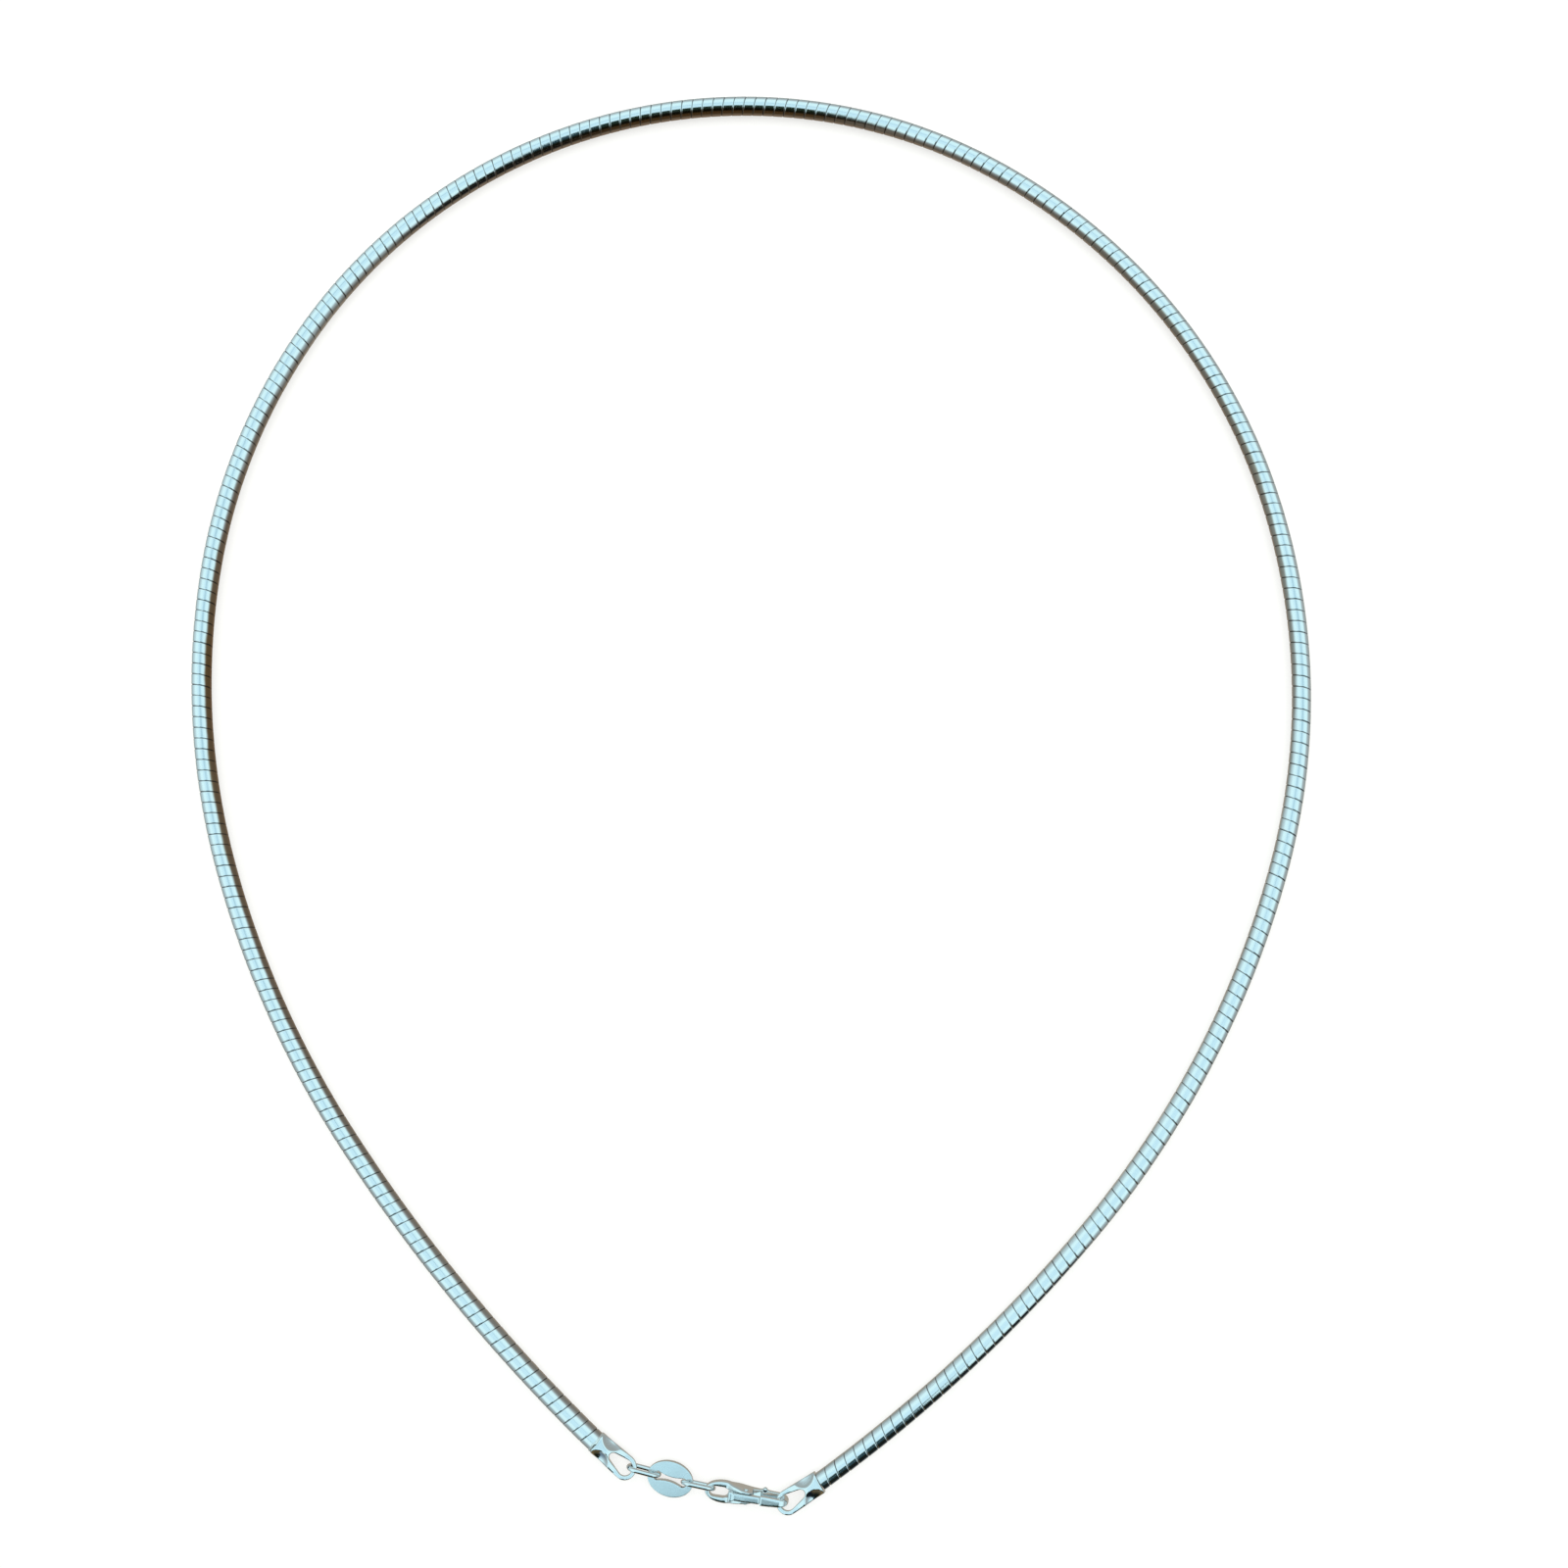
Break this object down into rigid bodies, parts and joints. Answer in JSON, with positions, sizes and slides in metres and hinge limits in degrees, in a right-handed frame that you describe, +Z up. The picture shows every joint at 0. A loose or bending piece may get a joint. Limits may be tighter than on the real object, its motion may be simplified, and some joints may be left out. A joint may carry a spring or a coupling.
{
  "type": "collar necklace",
  "caption": "Round flexible collar wound from one strip, with cast teardrop end caps, wire links, a slotted oval link and a lobster clasp with a sprung lever, closed.",
  "frame": {"origin": "bottom centre of the box, on the surface that the necklace lies on", "axes": "+Z up from the surface, +Y from the clasp to the middle of the collar's back, +X to the right as seen from above"},
  "size_m": [0.126, 0.159, 0.0025],
  "materials": {
    "wound_silver": "polished silver strip with small handling scratches",
    "cast_silver": "polished silver casting",
    "wire_silver": "polished silver wire",
    "satin_silver": "satin silver"
  },
  "bodies": {
    "necklace": {"collar_left": "wound_silver", "collar_right": "wound_silver", "end_cap_left": "cast_silver", "end_cap_right": "cast_silver", "connector_link_left": "wire_silver", "oval_link": "satin_silver", "connector_link_right": "wire_silver", "clasp_body": "cast_silver", "clasp_pin": "cast_silver"},
    "lever": {"clasp_lever": "satin_silver"}
  },
  "joints": [
    {"name": "lever_hinge", "type": "hinge", "parent": "necklace", "child": "lever", "pos_m": [0.00102, -0.07763, 0.00162], "axis": [0.1219, 0.9925, 0], "range_deg": [0, 25], "stiffness_Nm_per_rad": 0.001, "springref_deg": -22.92}
  ]
}
